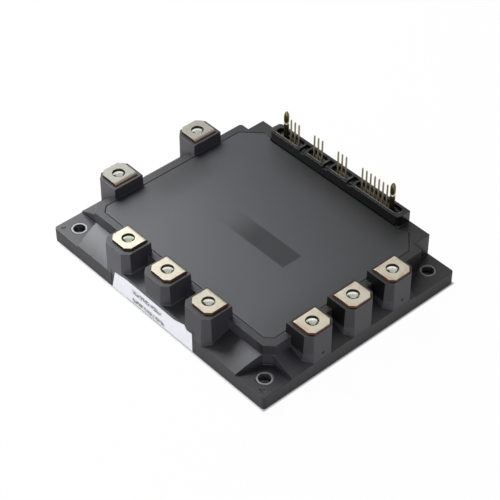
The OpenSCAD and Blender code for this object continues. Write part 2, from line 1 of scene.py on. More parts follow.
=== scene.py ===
"""Studio view of a power module: moulded case, eight screw terminals and a pin header.

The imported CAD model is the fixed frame. Its visible nodes get detailed finishes here, and the ones
whose edges or threads matter are stood for by finer pieces made from the same sizes.
"""

import logging
import math
from dataclasses import dataclass, field

import bmesh
import bpy
import numpy as np
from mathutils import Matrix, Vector


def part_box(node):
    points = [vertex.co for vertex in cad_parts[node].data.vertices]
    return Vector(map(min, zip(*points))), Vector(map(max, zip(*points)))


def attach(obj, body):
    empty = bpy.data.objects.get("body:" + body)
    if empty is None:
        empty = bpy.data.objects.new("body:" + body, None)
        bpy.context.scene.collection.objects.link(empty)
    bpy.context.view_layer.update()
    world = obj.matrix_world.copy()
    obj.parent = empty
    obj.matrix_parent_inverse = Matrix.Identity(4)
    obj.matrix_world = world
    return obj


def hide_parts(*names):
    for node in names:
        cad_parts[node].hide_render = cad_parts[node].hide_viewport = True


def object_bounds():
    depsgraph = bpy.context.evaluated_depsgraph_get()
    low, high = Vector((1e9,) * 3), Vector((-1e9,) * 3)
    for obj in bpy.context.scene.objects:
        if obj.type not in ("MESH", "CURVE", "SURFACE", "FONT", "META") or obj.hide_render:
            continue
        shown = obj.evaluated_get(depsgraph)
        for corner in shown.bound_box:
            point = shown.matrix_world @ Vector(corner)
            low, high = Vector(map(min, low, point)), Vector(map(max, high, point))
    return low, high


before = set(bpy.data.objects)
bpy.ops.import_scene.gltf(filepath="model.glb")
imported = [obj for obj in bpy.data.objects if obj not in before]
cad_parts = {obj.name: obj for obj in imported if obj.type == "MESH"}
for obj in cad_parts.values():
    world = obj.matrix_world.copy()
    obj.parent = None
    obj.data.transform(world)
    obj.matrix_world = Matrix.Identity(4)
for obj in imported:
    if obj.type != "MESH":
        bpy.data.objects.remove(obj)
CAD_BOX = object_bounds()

LOG = logging.getLogger("power_module")
MM = 0.001
BODY = "root"
HOLE_DISTANCE = "from_screw_hole"
FRONT_TERMINALS = ("terminal_u", "terminal_v", "terminal_w")
SIDE_TERMINALS = ("terminal_p1", "terminal_n1", "terminal_p2", "terminal_b", "terminal_n2")
TERMINALS = FRONT_TERMINALS + SIDE_TERMINALS
# Distance from a plate's outer edge to its screw hole, in millimetres
PLATE_HOLE_FRONT = 5.6
PLATE_HOLE_SIDE = 6.0
# Where the header's troughs start and end along X, in millimetres
TROUGHS = ((-38.9, -22.65), (-17.99, -7.41), (-2.75, 7.83), (12.49, 38.9))
# Heights between which the case's ledges slope, in millimetres
LEDGE_Z = (7.6, 12.9)
# Half the module's length and depth, and the top of its nuts, in millimetres
HALF_X, HALF_Y = (CAD_BOX[1][axis] / MM for axis in (0, 1))
NUT_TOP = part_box("terminal_nuts")[1][2] / MM
BLACK = (0.0, 0.0, 0.0, 1.0)
WHITE = (1.0, 1.0, 1.0, 1.0)


def srgb(red: float, green: float, blue: float) -> tuple[float, float, float, float]:
    """Turns a colour seen on a screen, 0 to 255 each, into Blender's linear values.

    Args:
        red: Red on the screen's scale.
        green: Green on the screen's scale.
        blue: Blue on the screen's scale.

    Returns:
        Linear red, green, blue and an alpha of 1.
    """
    seen = np.array([red, green, blue]) / 255.0
    linear = np.where(seen <= 0.04045, seen / 12.92, ((seen + 0.055) / 1.055) ** 2.4)
    return (*[float(value) for value in linear], 1.0)


class Graph:
    """A node tree with short calls that add nodes, set their sockets and link them."""

    def __init__(self, tree: bpy.types.NodeTree) -> None:
        """Wraps a tree and empties it.

        Args:
            tree: The tree of a material, a world or a node group.
        """
        self.tree = tree
        self.tree.nodes.clear()

    def add(self, kind: str, inputs: dict | None = None, **settings: object) -> bpy.types.Node:
        """Adds a node.

        Args:
            kind: Blender's name of the node type, without the ShaderNode prefix where it has one.
            inputs: Socket names or numbers with a value or an output socket to link from.
            **settings: Properties of the node itself.

        Returns:
            The new node.
        """
        name = kind if kind.startswith("NodeGroup") else f"ShaderNode{kind}"
        node = self.tree.nodes.new(name)
        for key, value in settings.items():
            setattr(node, key, value)
        for key, value in (inputs or {}).items():
            socket = node.inputs[key]
            if isinstance(value, bpy.types.NodeSocket):
                self.tree.links.new(value, socket)
            else:
                socket.default_value = value
        return node

    def math(self, operation: str, first: object, second: object = 0.0, clamp: bool = False) -> bpy.types.NodeSocket:
        """Adds a Math node and gives its output.

        Args:
            operation: Name of the operation.
            first: Value or socket of the first input.
            second: Value or socket of the second input.
            clamp: Whether the result is held between 0 and 1.

        Returns:
            The output socket.
        """
        node = self.add("Math", {0: first, 1: second}, operation=operation, use_clamp=clamp)
        return node.outputs[0]

    def product(self, *factors: object) -> bpy.types.NodeSocket:
        """Multiplies values or sockets with each other."""
        total = factors[0]
        for factor in factors[1:]:
            total = self.math("MULTIPLY", total, factor)
        return total

    def ramp(self, value: object, low: float, high: float, out_low: float = 0.0, out_high: float = 1.0,
             smooth: bool = True) -> bpy.types.NodeSocket:
        """Maps a value from one range to another, held at the ends.

        Args:
            value: Value or socket to map.
            low: Input that gives out_low.
            high: Input that gives out_high.
            out_low: Result at low.
            out_high: Result at high.
            smooth: Whether the way between is a smooth step.

        Returns:
            The output socket.
        """
        kind = "SMOOTHSTEP" if smooth else "LINEAR"
        node = self.add("MapRange", {0: value, 1: low, 2: high, 3: out_low, 4: out_high},
                        interpolation_type=kind)
        return node.outputs[0]

    def mix(self, factor: object, first: object, second: object) -> bpy.types.NodeSocket:
        """Mixes two colours.

        Args:
            factor: Share of the second colour.
            first: First colour.
            second: Second colour.

        Returns:
            The output socket.
        """
        node = self.add("Mix", {0: factor, 6: first, 7: second}, data_type="RGBA")
        return node.outputs[2]

    def axes(self, place: bpy.types.NodeSocket) -> list[bpy.types.NodeSocket]:
        """Splits a place in metres into X, Y and Z in millimetres.

        Args:
            place: The place's socket.

        Returns:
            Three sockets.
        """
        parts = self.add("SeparateXYZ", {0: self.add("VectorMath", {0: place, "Scale": 1.0 / MM},
                                                     operation="SCALE").outputs[0]})
        return list(parts.outputs)

    def within(self, value: object, low: float, high: float, soft: float = 0.1) -> bpy.types.NodeSocket:
        """Gives 1 between two bounds and 0 beyond them, with soft steps.

        Args:
            value: Value or socket to test.
            low: Lower bound.
            high: Upper bound.
            soft: Half the width of a step.

        Returns:
            The output socket.
        """
        return self.product(self.ramp(value, low - soft, low + soft), self.ramp(value, high + soft, high - soft))

    def looked_at(self, reflection: object = 1.0) -> bpy.types.NodeSocket:
        """Gives 1 where the camera, a reflection or a view through glass meets the surface, else 0.

        Args:
            reflection: Factor for reflections.

        Returns:
            The output socket.
        """
        seen = self.add("LightPath").outputs
        mirrored = self.product(seen["Is Glossy Ray"], reflection)
        return self.math("MAXIMUM", self.math("MAXIMUM", seen["Is Camera Ray"], mirrored),
                         seen["Is Transmission Ray"])

    def normal(self) -> list[bpy.types.NodeSocket]:
        """Gives the surface's true normal as three sockets."""
        return list(self.add("SeparateXYZ", {0: self.add("NewGeometry").outputs["True Normal"]}).outputs)

    def group(self, tree: bpy.types.NodeTree, inputs: dict) -> bpy.types.Node:
        """Places a node group.

        Args:
            tree: The group's tree.
            inputs: Its sockets by name.

        Returns:
            The group node.
        """
        return self.add("Group", inputs, node_tree=tree)


def new_group(name: str, inputs: dict[str, tuple[str, object]],
              outputs: dict[str, str]) -> tuple[Graph, bpy.types.Node, bpy.types.Node]:
    """Makes an empty shader node group with named sockets.

    Args:
        name: Name of the group.
        inputs: Socket type and default value by socket name.
        outputs: Socket type by socket name.

    Returns:
        The graph, the group's input node and its output node.
    """
    tree = bpy.data.node_groups.new(name, "ShaderNodeTree")
    for socket_name, (kind, default) in inputs.items():
        socket = tree.interface.new_socket(socket_name, in_out="INPUT", socket_type=kind)
        if default is not None:
            socket.default_value = default
    for socket_name, kind in outputs.items():
        tree.interface.new_socket(socket_name, in_out="OUTPUT", socket_type=kind)
    graph = Graph(tree)
    return graph, graph.add("NodeGroupInput"), graph.add("NodeGroupOutput")


class Effects:
    """Effects that several materials share, each a node group built once."""

    def __init__(self) -> None:
        """Builds the groups."""
        self.grain = self._grain()
        self.smudges = self._smudges()
        self.rolled = self._rolled()

    @staticmethod
    def _grain() -> bpy.types.NodeTree:
        """Fine sparkle of an eroded mould: two sizes of noise added, the finer at a third of the height."""
        graph, source, sink = new_group(
            "mould_grain", {"Vector": ("NodeSocketVector", None), "Size": ("NodeSocketFloat", 0.35)},
            {"Height": "NodeSocketFloat"})
        scale = graph.math("DIVIDE", 1000.0, source.outputs["Size"])
        fine_scale = graph.product(scale, 2.6)
        coarse = graph.add("TexNoise", {"Vector": source.outputs["Vector"], "Scale": scale, "Detail": 2.0})
        fine = graph.add("TexNoise", {"Vector": source.outputs["Vector"], "Scale": fine_scale, "Detail": 1.0})
        part = graph.product(fine.outputs["Fac"], 0.35)
        total = graph.math("ADD", coarse.outputs["Fac"], part)
        graph.tree.links.new(total, sink.inputs["Height"])
        return graph.tree

    @staticmethod
    def _smudges() -> bpy.types.NodeTree:
        """Soft patches of handling: broad noise, sharpened to a mask between 0 and 1."""
        graph, source, sink = new_group(
            "handling_smudges", {"Vector": ("NodeSocketVector", None), "Size": ("NodeSocketFloat", 20.0),
                                 "Sharpness": ("NodeSocketFloat", 0.2)},
            {"Mask": "NodeSocketFloat"})
        scale = graph.math("DIVIDE", 1000.0, source.outputs["Size"])
        noise = graph.add("TexNoise", {"Vector": source.outputs["Vector"], "Scale": scale, "Detail": 3.0,
                                       "Distortion": 0.6})
        low = graph.math("SUBTRACT", 0.5, source.outputs["Sharpness"])
        high = graph.math("ADD", 0.5, source.outputs["Sharpness"])
        graph.tree.links.new(graph.ramp(noise.outputs["Fac"], low, high), sink.inputs["Mask"])
        return graph.tree

    @staticmethod
    def _rolled() -> bpy.types.NodeTree:
        """Rolling lines of sheet metal: noise stretched along X, with small pits cut by a second noise."""
        graph, source, sink = new_group(
            "rolled_sheet", {"Vector": ("NodeSocketVector", None), "Size": ("NodeSocketFloat", 0.5),
                             "Stretch": ("NodeSocketFloat", 6.0)},
            {"Height": "NodeSocketFloat", "Pits": "NodeSocketFloat"})
        scale = graph.math("DIVIDE", 1000.0, source.outputs["Size"])
        parts = graph.add("SeparateXYZ", {0: source.outputs["Vector"]})
        along = graph.math("DIVIDE", parts.outputs[0], source.outputs["Stretch"])
        joined = graph.add("CombineXYZ", {0: along, 1: parts.outputs[1], 2: parts.outputs[2]})
        lines = graph.add("TexNoise", {"Vector": joined.outputs[0], "Scale": scale, "Detail": 3.0})
        pits = graph.add("TexNoise", {"Vector": source.outputs["Vector"], "Scale": scale, "Detail": 2.0})
        graph.tree.links.new(lines.outputs["Fac"], sink.inputs["Height"])
        graph.tree.links.new(graph.ramp(pits.outputs["Fac"], 0.6, 0.75), sink.inputs["Pits"])
        return graph.tree


def principled(graph: Graph, inputs: dict) -> bpy.types.Node:
    """Adds the Principled shader and joins it to the material's output.

    Args:
        graph: The material's graph.
        inputs: Sockets of the shader by name.

    Returns:
        The shader node.
    """
    shader = graph.add("BsdfPrincipled", inputs)
    graph.add("OutputMaterial", {"Surface": shader.outputs[0]})
    return shader


def new_material(name: str) -> tuple[bpy.types.Material, Graph, bpy.types.NodeSocket]:
    """Makes an empty material.

    Args:
        name: Name of the material.

    Returns:
        The material, its graph and the Object coordinates.
    """
    material = bpy.data.materials.new(name)
    material.use_nodes = True
    graph = Graph(material.node_tree)
    return material, graph, graph.add("TexCoord").outputs["Object"]


@dataclass(frozen=True)
class MouldedResin:
    """Dark filled resin with an eroded surface and softly rounded edges."""

    name: str
    colour: tuple
    worn: tuple
    roughness: float = 0.5
    gloss: float = 0.4
    grain_mm: float = 0.3
    grain_depth: float = 0.12
    edge_mm: float = 0.35

    def make(self, effects: Effects) -> bpy.types.Material:
        """Builds the material.

        Args:
            effects: The shared node groups.

        Returns:
            The material.
        """
        material, graph, place = new_material(self.name)
        grain = graph.group(effects.grain, {"Vector": place, "Size": self.grain_mm})
        smudges = graph.group(effects.smudges, {"Vector": place, "Size": 26.0, "Sharpness": 0.25})
        speck = graph.ramp(grain.outputs["Height"], 0.45, 0.95)
        share = graph.math("ADD", graph.product(smudges.outputs["Mask"], 0.25), graph.product(speck, 0.35), clamp=True)
        colour, matt = self.marked(graph, place, graph.mix(share, self.colour, self.worn))
        rough = graph.ramp(smudges.outputs["Mask"], 0.0, 1.0, self.roughness - 0.012, self.roughness + 0.018)
        rough = graph.math("ADD", rough, matt)
        rounded = graph.add("Bevel", {"Radius": self.edge_mm * MM}, samples=6)
        bump = graph.add("Bump", {"Strength": self.grain_depth, "Distance": 0.05 * MM,
                                  "Height": grain.outputs["Height"], "Normal": rounded.outputs[0]})
        principled(graph, {"Base Color": colour, "Roughness": rough, "Specular IOR Level": self.gloss,
                           "Normal": bump.outputs[0]})
        return material

    def marked(self, graph: Graph, place: bpy.types.NodeSocket, colour: bpy.types.NodeSocket) -> tuple:
        """Changes the surface where the piece has marks of its own.

        Args:
            graph: The material's graph.
            place: Object coordinates.
            colour: Colour of the plain surface.

        Returns:
            The colour with the marks, and the roughness to add there.
        """
        return colour, 0.0


@dataclass(frozen=True)
class CaseResin(MouldedResin):
    """Case resin: painted light on upright, front and left faces, painted shade at the right and rear, darker at the
    pin header, sealing resin in its troughs with a painted highlight along their rims.
    """

    # Painted light on upright faces
    wall: tuple = (0.03, 0.03, 0.03, 1.0)
    # The header's own dark tone, also laid on as painted shade at the right and rear
    header: tuple = (0.01, 0.01, 0.01, 1.0)
    sealing: tuple = (0.1, 0.1, 0.1, 1.0)
    # Painted highlight along the troughs' rims
    rim: tuple = (0.2, 0.2, 0.2, 1.0)
    # Painted light on the front and left faces, the front ledge and the front pocket
    painted_light_tone: tuple = (0.06, 0.06, 0.06, 1.0)
    # Millimetres: front of the header, top of the case below it, top of the header, extent of its troughs
    header_y: float = 48.0
    rim_z: float = 18.0
    header_z: float = 23.7
    trough_y: tuple = (49.6, 54.3)
    trough_z: tuple = (21.2, 23.5)

    def marked(self, graph: Graph, place: bpy.types.NodeSocket, colour: bpy.types.NodeSocket) -> tuple:
        """Tones the faces, the header and its troughs.

        Args:
            graph: The material's graph.
            place: Object coordinates.
            colour: Colour of the plain surface.

        Returns:
            The toned colour, and the roughness to add.
        """
        where, normal = graph.axes(place), graph.normal()
        block = graph.product(graph.ramp(where[1], self.header_y, self.header_y + 0.4),
                              graph.ramp(where[2], self.rim_z, self.rim_z + 0.6))
        colour = self.shaded(graph, where, normal, self.paint_light_on_faces(graph, where, normal, colour))
        colour = graph.mix(graph.product(block, 0.9), colour, self.header)
        rougher = graph.product(block, graph.ramp(normal[2], 0.2, 0.8, -0.18, 0.3))
        return self.filled(graph, where, normal[2], colour), rougher

    def paint_light_on_faces(self, graph: Graph, where: list, normal: list, colour: bpy.types.NodeSocket) -> bpy.types.NodeSocket:
        """Pales upright faces, and the front and left ones that the photograph shows lighter.

        Args:
            graph: The material's graph.
            where: Place in millimetres, three sockets.
            normal: Normal, three sockets.
            colour: Colour so far.

        Returns:
            The colour.
        """
        along, across, height = where
        slope = graph.within(height, *LEDGE_Z, 0.4)
        upright = graph.product(graph.ramp(normal[2], 0.75, 0.3), graph.ramp(height, 7.6, 8.6))
        front = graph.product(upright, graph.ramp(normal[1], -0.5, -0.9), graph.ramp(along, 4.0, -32.0))
        low = graph.product(slope, graph.ramp(across, -40.0, -44.0), graph.within(along, -31.0, 9.0, 13.0))
        pocket = graph.product(graph.ramp(along, 44.0, 50.0), graph.ramp(across, -32.0, -38.0), slope,
                               graph.ramp(normal[2], 0.3, 0.6, 0.0, 0.4))
        # Painted light: upright faces take the wall tone; the front and left faces, the front ledge and the front
        # pocket take the paler tone
        colour = graph.mix(upright, colour, self.wall)
        for share in (front, low, pocket):
            colour = graph.mix(share, colour, self.painted_light_tone)
        return colour

    def shaded(self, graph: Graph, where: list, normal: list, colour: bpy.types.NodeSocket) -> bpy.types.NodeSocket:
        """Darkens faces at the right and rear that the photograph shows darker.

        Args:
            graph: The material's graph.
            where: Place in millimetres, three sockets.
            normal: Normal, three sockets.
            colour: Colour so far.

        Returns:
            The colour.
        """
        along, across, height = where
        # Painted shade: south faces at the right, the rear right corner, a strip in front of the header and the right
        # ledge
        behind = graph.product(graph.ramp(normal[1], -0.5, -0.9), graph.ramp(along, 50.0, 54.0),
                               graph.ramp(height, 12.6, 14.0))
        corner = graph.product(graph.ramp(along, 50.0, 56.0), graph.ramp(across, 30.0, 38.0))
        strip = graph.product(graph.ramp(across, self.header_y - 3.0, self.header_y - 1.5),
                              graph.ramp(height, self.rim_z - 1.0, self.rim_z - 0.4))
        ledge = graph.product(graph.ramp(along, 53.0, 56.0), graph.within(height, *LEDGE_Z, 0.4),
                              graph.ramp(normal[2], 0.3, 0.6, 0.0, 0.7), graph.ramp(across, -32.0, -26.0))
        for share in (behind, corner, strip, ledge):
            colour = graph.mix(share, colour, self.header)
        return colour

    def filled(self, graph: Graph, where: list, facing: bpy.types.NodeSocket,
               colour: bpy.types.NodeSocket) -> bpy.types.NodeSocket:
        """Lays sealing resin in the troughs and a painted highlight along their rims.

        Args:
            graph: The material's graph.
            where: Place in millimetres, three sockets.
            facing: How far the surface faces upwards.
            colour: Colour so far.

        Returns:
            The colour.
        """
        along, across, height = where
        edge, inside = 0.0, 0.0
        for start, end in TROUGHS:
            inside = graph.math("ADD", inside, graph.within(along, start - 0.2, end + 0.2))
            near = graph.product(graph.within(along, start + 1.0, end - 1.5, 0.4),
                                 graph.within(across, self.trough_y[0] - 0.3, self.trough_y[0] + 0.15))
            closed = graph.product(graph.within(along, end - 0.1, end + 0.3, 0.15),
                                   graph.within(across, 50.6, 53.0, 0.5))
            edge = graph.math("ADD", edge, graph.math("ADD", near, closed))
        top = graph.ramp(height, self.header_z - 0.5, self.header_z - 0.1)
        # Painted highlight along the troughs' front rims and at their closed ends
        colour = graph.mix(graph.product(edge, top, 0.7), colour, self.rim)
        trough = graph.product(graph.within(height, *self.trough_z), graph.within(across, *self.trough_y), inside,
                               graph.ramp(facing, 0.3, 0.6))
        return graph.mix(trough, colour, self.sealing)


@dataclass(frozen=True)
class LidResin(MouldedResin):
    """Lid resin: painted sheen at the front, painted shade at the header and left, with a bare field whose darkening to
    the right is painted shade.
    """

    field_x: tuple = (-27.0, 26.5)
    field_y: tuple = (-5.8, 5.0)
    depth: float = 0.6
    painted_sheen: tuple = (0.03, 0.03, 0.03, 1.0)
    # Millimetres: where the painted sheen at the front fades out, and where the painted shade at the header comes in
    front_y: tuple = (-14.0, 34.0)
    strip_y: tuple = (32.0, 44.0)

    def marked(self, graph: Graph, place: bpy.types.NodeSocket, colour: bpy.types.NodeSocket) -> tuple:
        """Darkens the marking field, paints shade on the strip at the header and at the left, and paints sheen on the
        front.

        Args:
            graph: The material's graph.
            place: Object coordinates.
            colour: Colour of the plain surface.

        Returns:
            The colour with the field, and the roughness to add.
        """
        along, across, _ = graph.axes(place)
        middle = graph.within(along, -39.0, 46.0, 11.0)
        # Painted sheen: the front is paler
        front = graph.product(graph.ramp(across, *self.front_y, 1.0, 0.0, smooth=False), middle)
        colour = graph.mix(front, colour, self.painted_sheen)
        # Painted shade: a dark strip at the header and a dark band at the left
        strip = graph.product(graph.ramp(across, *self.strip_y, 0.0, 0.9), graph.ramp(along, -38.0, -14.0))
        side = graph.product(graph.ramp(along, -36.0, -50.0), graph.within(across, -14.0, 16.0, 6.0))
        colour = graph.mix(graph.math("MAXIMUM", strip, side), colour, BLACK)
        # The field is a darker patch of the lid; its darkening to the right is painted shade
        share = graph.product(graph.within(along, *self.field_x, 0.5), graph.within(across, *self.field_y, 0.5),
                              graph.ramp(along, -20.0, 6.0))
        dark = graph.mix(graph.product(share, self.depth), colour, BLACK)
        return dark, graph.product(share, 0.35)


@dataclass(frozen=True)
class TinnedCopper:
    """Tin-plated copper strip: bare copper at its sheared edges, painted shade on its sides and in its screw hole, a
    warm blush at corners and bends.
    """

    name: str
    face: tuple
    edge: tuple
    tarnish: tuple
    greyed: tuple
    shade: tuple
    blush: tuple
    roughness: float = 0.36
    metallic: float = 0.35
    # Millimetres along X: where the left plates turn grey, where the blush comes in, where their bends lie
    grey_x: tuple = (-40.0, -56.0)
    blush_x: tuple = (0.0, 56.0)
    bend_x: tuple = (-57.6, -50.0)

    def make(self, effects: Effects) -> bpy.types.Material:
        """Builds the material.

        Args:
            effects: The shared node groups.

        Returns:
            The material.
        """
        material, graph, place = new_material(self.name)
        sheet = graph.group(effects.rolled, {"Vector": place, "Size": 0.7, "Stretch": 4.0})
        patches = graph.group(effects.smudges, {"Vector": place, "Size": 5.0, "Sharpness": 0.18})
        from_hole = graph.add("Attribute", attribute_name=HOLE_DISTANCE).outputs["Fac"]
        along = graph.axes(place)[0]
        dull = graph.math("ADD", graph.product(patches.outputs["Mask"], 0.35),
                          graph.product(sheet.outputs["Pits"], 0.3), clamp=True)
        top = graph.mix(dull, self.face, self.tarnish)
        top = graph.mix(graph.ramp(along, *self.grey_x), top, self.greyed)
        corner = graph.product(graph.ramp(from_hole, 4.8, 8.2), graph.ramp(patches.outputs["Mask"], 0.1, 0.9))
        bend = graph.product(graph.within(along, *self.bend_x, 1.2), 0.8)
        sides = graph.math("MAXIMUM", graph.ramp(along, *self.blush_x, 0.1, 0.5), bend)
        top = graph.mix(graph.product(corner, sides), top, self.blush)
        # Painted shade: the tops darken a little between X = -22 and 45 mm
        painted_shade_dip = graph.product(graph.ramp(along, -22.0, 20.0), graph.ramp(along, 45.0, 30.0), 0.14)
        top = graph.mix(painted_shade_dip, top, self.shade)
        # Painted shade on the sides and the screw hole's wall, turning to bare copper along the outer edges towards the
        # right
        copper = graph.product(graph.ramp(from_hole, 3.2, 3.6), graph.ramp(along, -30.0, 40.0, 0.25, 1.0))
        colour = graph.mix(graph.ramp(graph.normal()[2], 0.35, 0.8), graph.mix(copper, self.shade, self.edge), top)
        rough = graph.ramp(sheet.outputs["Height"], 0.3, 0.7, self.roughness - 0.06, self.roughness + 0.08)
        bump = graph.add("Bump", {"Strength": 0.25, "Distance": 0.04 * MM, "Height": sheet.outputs["Height"]})
        principled(graph, {"Base Color": colour, "Metallic": self.metallic, "Roughness": rough,
                           "Normal": bump.outputs[0]})
        return material


@dataclass(frozen=True)
class PlainMetal:
    """Metal with fine lines and a little tarnish."""

    name: str
    colour: tuple
    tarnish: tuple
    roughness: float = 0.3
    line_mm: float = 0.3
    stretch: float = 5.0
    patch_mm: float = 4.0
    metallic: float = 1.0

    def make(self, effects: Effects) -> bpy.types.Material:
        """Builds the material.

        Args:
            effects: The shared node groups.

        Returns:
            The material.
        """
        material, graph, place = new_material(self.name)
        sheet = graph.group(effects.rolled, {"Vector": place, "Size": self.line_mm, "Stretch": self.stretch})
        patches = graph.group(effects.smudges, {"Vector": place, "Size": self.patch_mm, "Sharpness": 0.2})
        share = graph.product(patches.outputs["Mask"], 0.6)
        colour = self.toned(graph, place, graph.mix(share, self.colour, self.tarnish))
        rough = graph.ramp(sheet.outputs["Height"], 0.3, 0.7, self.roughness - 0.05, self.roughness + 0.08)
        bump = graph.add("Bump", {"Strength": 0.15, "Distance": 0.03 * MM, "Height": sheet.outputs["Height"]})
        principled(graph, {"Base Color": colour, "Metallic": self.metallic, "Roughness": rough,
                           "Normal": bump.outputs[0]})
        return material

    def toned(self, graph: Graph, place: bpy.types.NodeSocket, colour: bpy.types.NodeSocket) -> bpy.types.NodeSocket:
        """Changes the colour where the piece has a tone of its own.

        Args:
            graph: The material's graph.
            place: Object coordinates.
            colour: Colour of the plain metal.

        Returns:
            The colour.
        """
        return colour


@dataclass(frozen=True)
class GuideBrass(PlainMetal):
    """Darkened brass of the guide pins: bright in the groove, nearly black below it."""

    bright: tuple = (0.6, 0.6, 0.5, 1.0)
    dark: tuple = (0.05, 0.05, 0.04, 1.0)
    groove_z: tuple = (30.2, 31.2)

    def toned(self, graph: Graph, place: bpy.types.NodeSocket, colour: bpy.types.NodeSocket) -> bpy.types.NodeSocket:
        """Brightens the groove and darkens the shaft below.

        Args:
            graph: The material's graph.
            place: Object coordinates.
            colour: Colour of the plain metal.

        Returns:
            The colour.
        """
        height = graph.axes(place)[2]
        low, high = self.groove_z
        shaft = graph.mix(graph.ramp(height, low, low - 3.0), colour, self.dark)
        return graph.mix(graph.within(height, low, high, 0.2), shaft, self.bright)


@dataclass(frozen=True)
class BoredSteel(PlainMetal):
    """Plated steel with a bright top ring and a bore darkened with painted shade."""

    bore: tuple = (0.03, 0.03, 0.03, 1.0)
    bore_z: tuple = (0.0, 1.0)

    def toned(self, graph: Graph, place: bpy.types.NodeSocket, colour: bpy.types.NodeSocket) -> bpy.types.NodeSocket:
        """Paints shade on what doesn't face upwards or lies below the rim.

        Args:
            graph: The material's graph.
            place: Object coordinates.
            colour: Colour of the plain metal.

        Returns:
            The colour.
        """
        height = graph.axes(place)[2]
        rim = graph.product(graph.ramp(graph.normal()[2], 0.2, 0.7), graph.ramp(height, *self.bore_z))
        return graph.mix(rim, self.bore, colour)


@dataclass(frozen=True)
class PlainCoat:
    """Non-metal surface with a fine grain and soft patches."""

    name: str
    colour: tuple
    second: tuple
    roughness: float = 0.5
    grain_mm: float = 0.5

    def make(self, effects: Effects) -> bpy.types.Material:
        """Builds the material.

        Args:
            effects: The shared node groups.

        Returns:
            The material.
        """
        material, graph, place = new_material(self.name)
        grain = graph.group(effects.grain, {"Vector": place, "Size": self.grain_mm})
        patches = graph.group(effects.smudges, {"Vector": place, "Size": 8.0, "Sharpness": 0.3})
        colour = graph.mix(patches.outputs["Mask"], self.colour, self.second)
        bump = graph.add("Bump", {"Strength": 0.1, "Distance": 0.04 * MM, "Height": grain.outputs["Height"]})
        rough = graph.ramp(grain.outputs["Height"], 0.3, 0.9, self.roughness - 0.04, self.roughness + 0.04)
        principled(graph, {"Base Color": colour, "Roughness": rough, "Normal": bump.outputs[0]})
        return material


@dataclass(frozen=True)
class LabelFilm:
    """White film label with a painted shadow line along its lower edge and rows of grey cells where a label has its
    print.
    """

    name: str
    film: tuple
    ink: tuple
    upper: tuple = ((-14.0, 5.6), (6.1, 8.6), 0.84)
    lower: tuple = ((-14.0, 7.0), (1.4, 3.5), 0.7)

    @staticmethod
    def cells(graph: Graph, along: object, height: object, span: tuple, rows: tuple, size: float) -> object:
        """Row of plain square cells, each filled or left white by noise of its number.

        Args:
            graph: The material's graph.
            along: Place along the label in millimetres.
            height: Height in millimetres.
            span: First and last place of the row.
            rows: Lower and upper height of the row.
            size: Side of a cell in millimetres.

        Returns:
            A mask between 0 and 1.
        """
        number = [graph.math("FLOOR", graph.math("DIVIDE", value, size)) for value in (along, height)]
        cell = graph.add("CombineXYZ", {0: number[0], 1: number[1]})
        chance = graph.add("TexWhiteNoise", {"Vector": cell.outputs[0]}).outputs["Value"]
        dark = graph.ramp(chance, 0.2, 0.8, 0.25, 1.0)
        field = graph.product(graph.within(along, *span, 0.05), graph.within(height, *rows, 0.12))
        return graph.product(dark, field)

    def make(self, effects: Effects) -> bpy.types.Material:
        """Builds the material.

        Args:
            effects: The shared node groups.

        Returns:
            The material.
        """
        material, graph, place = new_material(self.name)
        grain = graph.group(effects.grain, {"Vector": place, "Size": 0.2})
        along, _, height = graph.axes(place)
        rows = [self.cells(graph, along, height, *row) for row in (self.upper, self.lower)]
        printed = graph.math("MAXIMUM", *rows)
        # Painted shadow: a thin grey line along the label's lower edge
        painted_edge_shadow = graph.product(graph.within(height, 0.35, 0.75, 0.15), graph.within(along, -18.0, 25.5, 1.0))
        share = graph.math("MAXIMUM", graph.product(printed, 0.88), graph.product(painted_edge_shadow, 0.4))
        colour = graph.mix(share, self.film, self.ink)
        bump = graph.add("Bump", {"Strength": 0.05, "Distance": 0.03 * MM, "Height": grain.outputs["Height"]})
        principled(graph, {"Base Color": colour, "Roughness": 0.42, "Normal": bump.outputs[0]})
        return material


